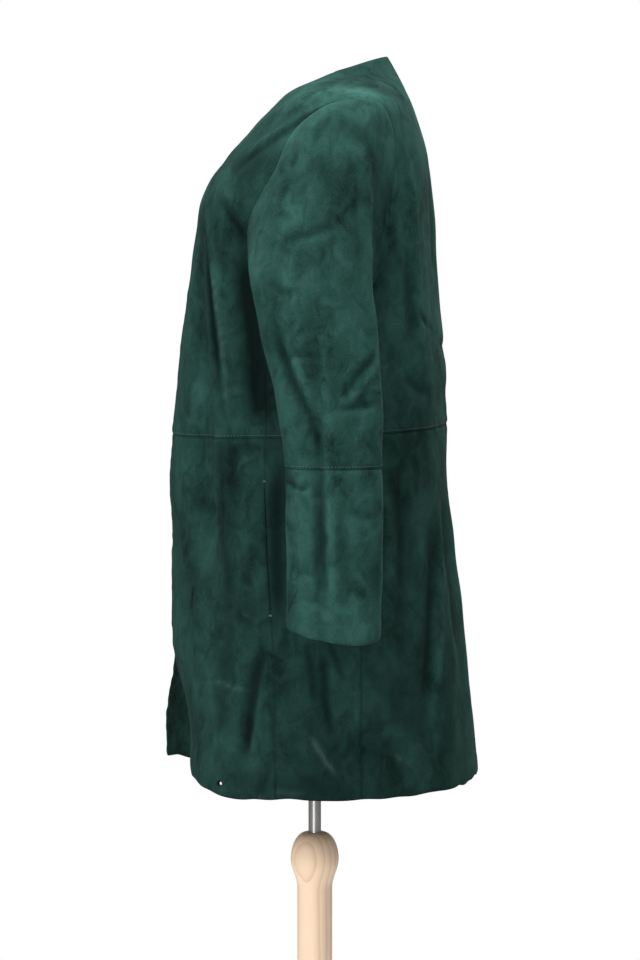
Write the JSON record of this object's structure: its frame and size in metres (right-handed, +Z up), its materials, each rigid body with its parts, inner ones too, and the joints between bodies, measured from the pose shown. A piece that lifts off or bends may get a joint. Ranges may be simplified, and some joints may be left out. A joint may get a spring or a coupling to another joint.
{
  "type": "suede coat on a dress form",
  "caption": "Collarless open-front suede coat with a waist seam and set-in sleeves, hung on a limbless dress form that stands on a rod, a turned post and a round base.",
  "frame": {"origin": "on the floor, in the middle of the underside of the stand's base, on the axis of the rod", "axes": "+Z up; the coat's open front faces -Y; the coat's left side is +X"},
  "size_m": [0.5734, 0.3736, 1.4649],
  "materials": {
    "suede": "brushed suede nap, dark green",
    "jersey": "matte jersey cover",
    "steel": "satin",
    "pine": "satin clear coat"
  },
  "bodies": {
    "root": {"coat_front_upper_left": "suede", "coat_side_upper_left": "suede", "coat_front_lower_left": "suede", "coat_side_lower_left": "suede", "sleeve_upper_left": "suede", "sleeve_lower_left": "suede", "coat_front_upper_right": "suede", "coat_side_upper_right": "suede", "coat_front_lower_right": "suede", "coat_side_lower_right": "suede", "sleeve_upper_right": "suede", "sleeve_lower_right": "suede", "coat_back_upper": "suede", "coat_back_lower": "suede", "dress_form": "jersey", "stand_rod": "steel", "stand_post": "pine", "stand_base": "pine"}
  },
  "joints": []
}
